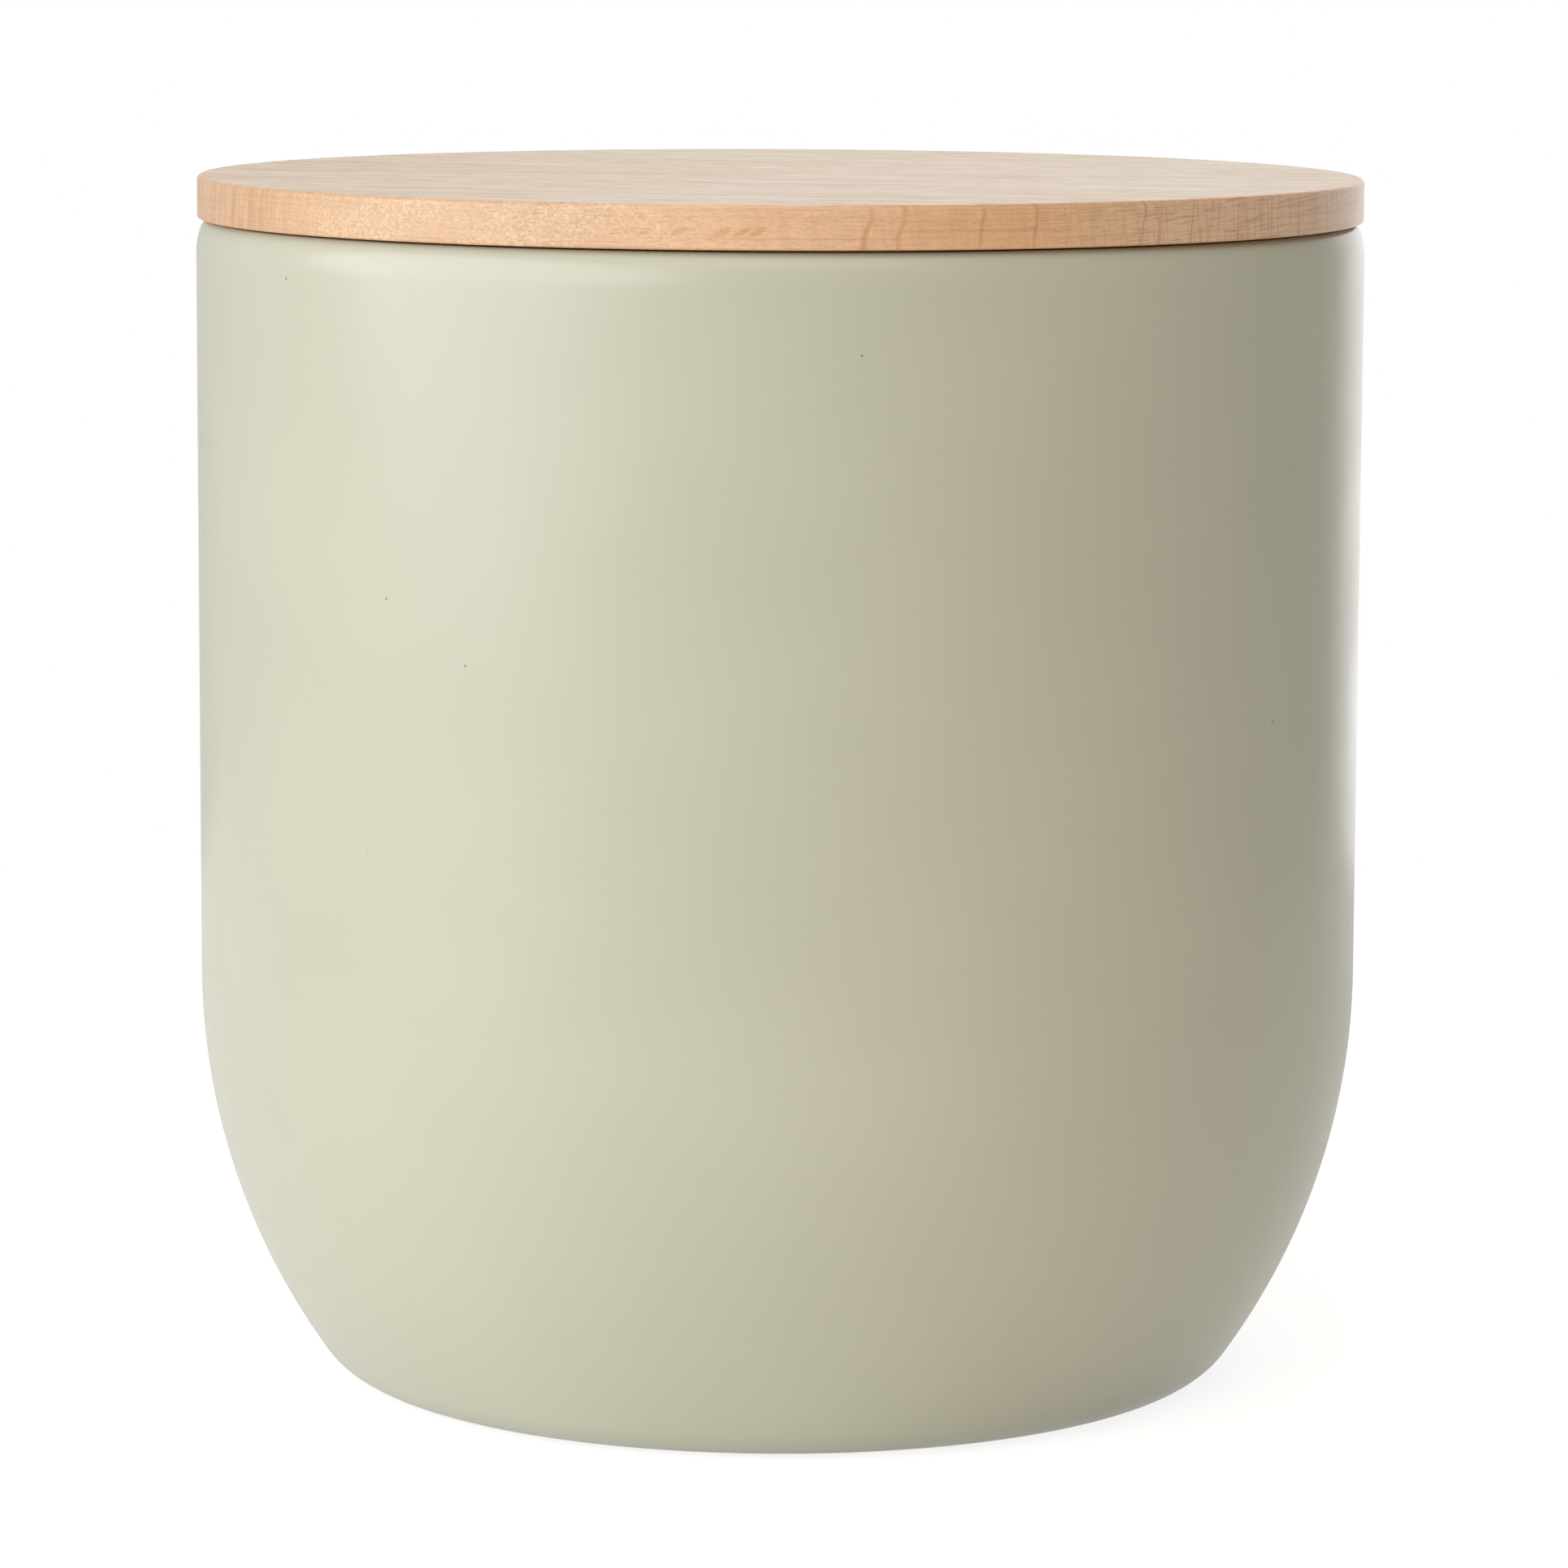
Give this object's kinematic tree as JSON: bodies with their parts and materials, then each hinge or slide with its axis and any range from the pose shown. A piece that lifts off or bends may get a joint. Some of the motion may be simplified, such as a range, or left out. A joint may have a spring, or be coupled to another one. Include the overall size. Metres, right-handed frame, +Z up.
{
  "type": "kitchen canister",
  "caption": "Round glazed stoneware canister with a straight wall that curves in to its foot, and a flat beech lid whose plug and silicone ring seal the mouth.",
  "frame": {"origin": "centre of the foot, on the surface that the canister stands on", "axes": "+Z up along the jar's axis, -Y towards the side seen in the picture"},
  "size_m": [0.15, 0.15, 0.1557],
  "materials": {
    "glaze": "smooth satin glaze in pale sage, bare clay under the foot",
    "beech": "sanded and thinly oiled beech",
    "silicone": "cloudy white food-grade silicone"
  },
  "bodies": {
    "jar": {"jar_body": "glaze"},
    "seal": {"seal_ring": "silicone"},
    "lid": {"lid_board": "beech", "lid_plug": "beech"}
  },
  "joints": [
    {"name": "lid_lift", "type": "slide", "parent": "jar", "child": "seal", "axis": [0, 0, 1], "range_m": [0, 0.16]},
    {"name": "lid_turn", "type": "hinge", "parent": "seal", "child": "lid", "pos_m": [0, 0, 0.15025], "axis": [0, 0, 1], "continuous": true}
  ]
}
